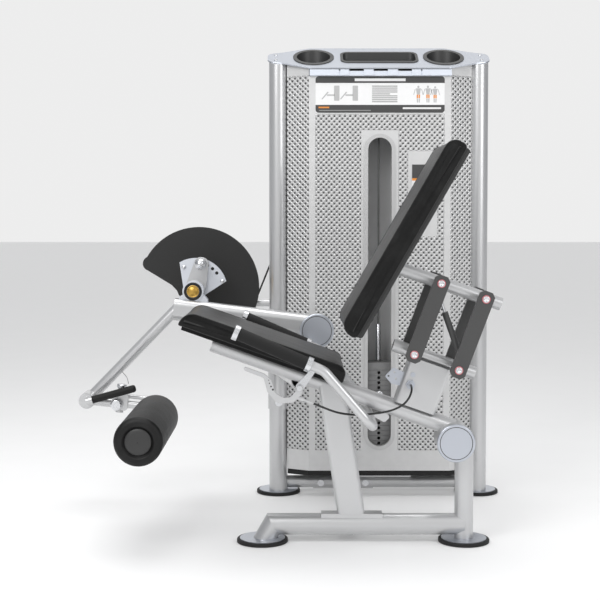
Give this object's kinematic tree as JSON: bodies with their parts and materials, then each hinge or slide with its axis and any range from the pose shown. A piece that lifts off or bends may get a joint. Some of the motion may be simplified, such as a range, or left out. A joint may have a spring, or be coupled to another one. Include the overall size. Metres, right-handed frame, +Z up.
{
  "type": "leg extension machine",
  "caption": "Seated leg extension machine: inclined seat, adjustable back pad, foam ankle roller on a lever with cam, and a shrouded weight stack tower.",
  "frame": {"origin": "bottom centre of the bounding box, on the floor", "axes": "+Z up; +X from the ankle roller towards the back pad; +Y from the seat towards the weight stack tower"},
  "size_m": [1.3984, 1.022, 1.5322],
  "materials": {
    "silver_paint": "satin metallic silver-grey powder coat",
    "shroud_paint": "light silver sheet metal, woven perforation",
    "machined": "fine brushed, bluish",
    "link_paint": "dark grey satin",
    "cam_paint": "matt charcoal",
    "vinyl": "black upholstery vinyl",
    "grip_rubber": "black ribbed rubber",
    "foot_rubber": "black moulded rubber",
    "polished_steel": "polished",
    "bearing_bronze": "turned bronze",
    "stack_steel": "dark grey painted plate",
    "tray_plastic": "black moulded plastic",
    "board": "black board",
    "placard_print": "printed sheet",
    "foam": "black skinned foam",
    "cable_coat": "black coated cable"
  },
  "bodies": {
    "frame": {"base_tube": "silver_paint", "near_column": "silver_paint", "main_beam": "silver_paint", "strut": "silver_paint", "lower_tube": "silver_paint", "seat_post": "silver_paint", "foot_rubbers": "foot_rubber", "foot_plates": "machined", "boss_caps": "machined", "post_fittings": "machined", "seat_board": "board", "seat_pad": "vinyl", "handle_tube": "silver_paint", "grips": "grip_rubber", "grip_collars": "polished_steel", "transverse_tube": "silver_paint", "support_tube": "silver_paint", "pillow_block": "machined", "cam_bracket": "silver_paint", "tower_columns": "silver_paint", "connector_tube": "silver_paint", "tower_crossbeams": "silver_paint", "frame_bolts": "polished_steel", "front_panel": "shroud_paint", "slot_bezel": "shroud_paint", "rear_panel": "shroud_paint", "side_panels": "shroud_paint", "placards": "placard_print", "trim_strip": "shroud_paint", "top_plate": "shroud_paint", "cup_holders_and_tray": "tray_plastic", "stack_plates_resting": "stack_steel", "guide_rods": "polished_steel", "stack_bumpers": "foot_rubber", "lift_cable": "cable_coat", "release_cable": "cable_coat"},
    "cam": {"cam_axle": "bearing_bronze", "cam_disc": "cam_paint", "selector_plate": "machined"},
    "pulley": {"top_pulley": "tray_plastic"},
    "stack": {"stack_lifted": "stack_steel", "stack_cable": "cable_coat"},
    "selector": {"selector_pin": "polished_steel"},
    "lever": {"lever_arm": "silver_paint", "ankle_clamp": "silver_paint", "adjust_grip": "grip_rubber", "lanyard": "cable_coat"},
    "start_pin": {"start_pin": "polished_steel"},
    "ankle": {"ankle_bar": "silver_paint"},
    "pop_pin": {"pop_pin": "polished_steel"},
    "clamp_knob": {"clamp_knob": "polished_steel"},
    "roller": {"roller": "foam"},
    "release": {"release_lever": "silver_paint"},
    "front_link": {"front_links": "link_paint"},
    "rear_link": {"rear_links": "link_paint"},
    "back": {"upper_tube": "silver_paint", "back_shell": "board", "back_pad": "vinyl"},
    "gas_body": {"gas_cylinder": "link_paint"},
    "gas_rod": {"gas_rod": "polished_steel"}
  },
  "joints": [
    {"name": "cam_turn", "type": "hinge", "parent": "frame", "child": "cam", "pos_m": [-0.32685, 0.412, 0.708], "axis": [0, 1, 0], "range_deg": [0, 75]},
    {"name": "pulley_turn", "type": "hinge", "parent": "frame", "child": "pulley", "pos_m": [0.21575, 0.412, 1.341], "axis": [0, 1, 0], "range_deg": [-211, 0]},
    {"name": "stack_lift", "type": "slide", "parent": "frame", "child": "stack", "axis": [0, 0, 1], "range_m": [0, 0.2571], "deforming": ["stack_cable"]},
    {"name": "selector_pull", "type": "slide", "parent": "stack", "child": "selector", "axis": [0, -1, 0], "range_m": [0, 0.06]},
    {"name": "lever_start", "type": "hinge", "parent": "cam", "child": "lever", "pos_m": [-0.32685, 0.233, 0.708], "axis": [0, 1, 0], "range_deg": [-13, 39]},
    {"name": "start_pin_push", "type": "slide", "parent": "lever", "child": "start_pin", "axis": [0, 1, 0], "range_m": [0, 0.012]},
    {"name": "ankle_slide", "type": "slide", "parent": "lever", "child": "ankle", "axis": [0.9938, 0, -0.1109], "range_m": [-0.006, 0.04]},
    {"name": "pop_pin_pull", "type": "slide", "parent": "lever", "child": "pop_pin", "axis": [0.1109, 0, 0.9938], "range_m": [0, 0.008], "stiffness_N_per_m": 800, "springref_m": -0.003},
    {"name": "clamp_knob_turn", "type": "hinge", "parent": "lever", "child": "clamp_knob", "pos_m": [-0.57585, 0.163, 0.34113], "axis": [0, 1, 0], "range_deg": [-180, 180]},
    {"name": "roller_spin", "type": "hinge", "parent": "ankle", "child": "roller", "pos_m": [-0.43125, -0.228, 0.325], "axis": [0, 1, 0], "continuous": true},
    {"name": "release_squeeze", "type": "hinge", "parent": "frame", "child": "release", "pos_m": [0.01645, -0.5, 0.488], "axis": [0, 1, 0], "range_deg": [0, 12], "stiffness_Nm_per_rad": 6, "springref_deg": -8.59},
    {"name": "back_shift", "type": "hinge", "parent": "frame", "child": "front_link", "pos_m": [0.34179, -0.228, 0.55787], "axis": [0, 1, 0], "range_deg": [-16, 14]},
    {"name": "rear_link_turn", "type": "hinge", "parent": "frame", "child": "rear_link", "pos_m": [0.46852, -0.228, 0.51311], "axis": [0, 1, 0], "range_deg": [-16, 14]},
    {"name": "back_level", "type": "hinge", "parent": "front_link", "child": "back", "pos_m": [0.4179, -0.228, 0.7598], "axis": [0, 1, 0], "range_deg": [-14, 16]},
    {"name": "gas_tilt", "type": "hinge", "parent": "frame", "child": "gas_body", "pos_m": [0.48852, -0.268, 0.51911], "axis": [0, 1, 0], "range_deg": [-60, 60]},
    {"name": "gas_stroke", "type": "slide", "parent": "gas_body", "child": "gas_rod", "axis": [-0.3339, 0, 0.9426], "range_m": [-0.09, 0.09]}
  ],
  "couplings": [
    {"joint": "pulley_turn", "follows": "cam_turn", "ratio": -2.8},
    {"joint": "stack_lift", "follows": "cam_turn", "m_per_rad": 0.196},
    {"joint": "rear_link_turn", "follows": "back_shift", "ratio": 1},
    {"joint": "back_level", "follows": "back_shift", "ratio": -1},
    {"joint": "gas_tilt", "follows": "back_shift", "ratio": 0.73492},
    {"joint": "gas_stroke", "follows": "back_shift", "m_per_rad": -0.13761}
  ]
}
